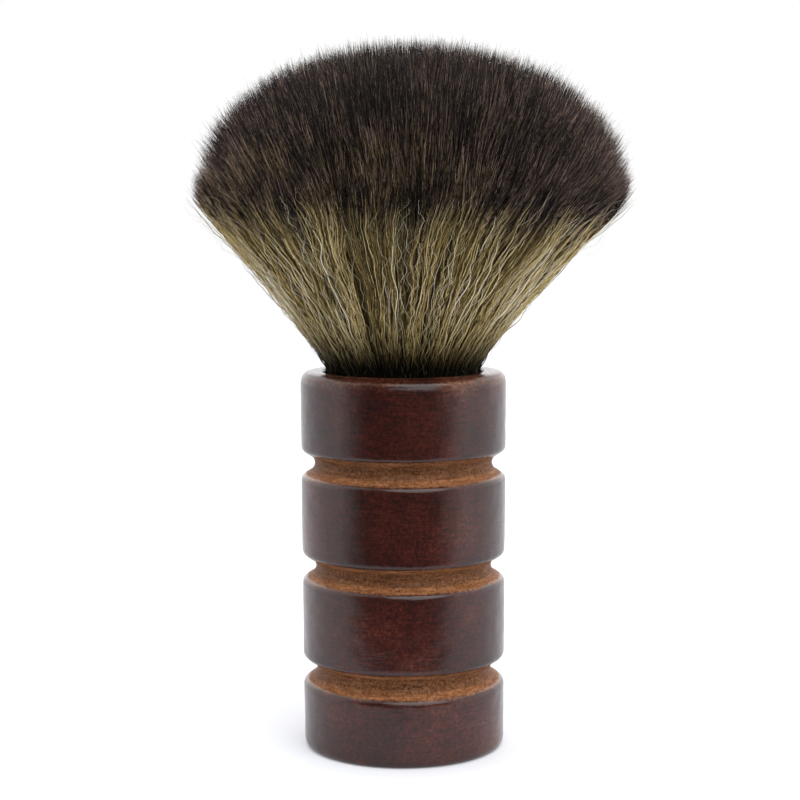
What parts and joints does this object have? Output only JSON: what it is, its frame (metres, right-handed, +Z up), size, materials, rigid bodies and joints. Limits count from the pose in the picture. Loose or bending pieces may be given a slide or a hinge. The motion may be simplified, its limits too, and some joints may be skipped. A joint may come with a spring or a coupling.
{
  "type": "neck duster brush",
  "caption": "Barber's neck duster: a turned, grooved wooden handle that stands on its flat base, with a flared dome of soft bristles set into its top.",
  "frame": {"origin": "middle of the handle's flat base, on the surface that the brush stands on", "axes": "+Z up along the handle's turning axis, towards the bristles; the brush is round, so +X and +Y are free"},
  "size_m": [0.0838, 0.0838, 0.1363],
  "materials": {
    "stained_wood": "dark red-brown stain under satin lacquer, worn lighter in the grooves",
    "dried_glue": "hard amber adhesive",
    "cast_resin": "dark cast resin",
    "linen_thread": "twisted linen thread",
    "bristle": "natural hair, pale and wavy low down with dark tips"
  },
  "bodies": {
    "root": {"handle": "stained_wood", "adhesive_bed": "dried_glue", "knot_plug": "cast_resin", "binding_thread": "linen_thread", "bristle_tuft": "bristle"}
  },
  "joints": []
}
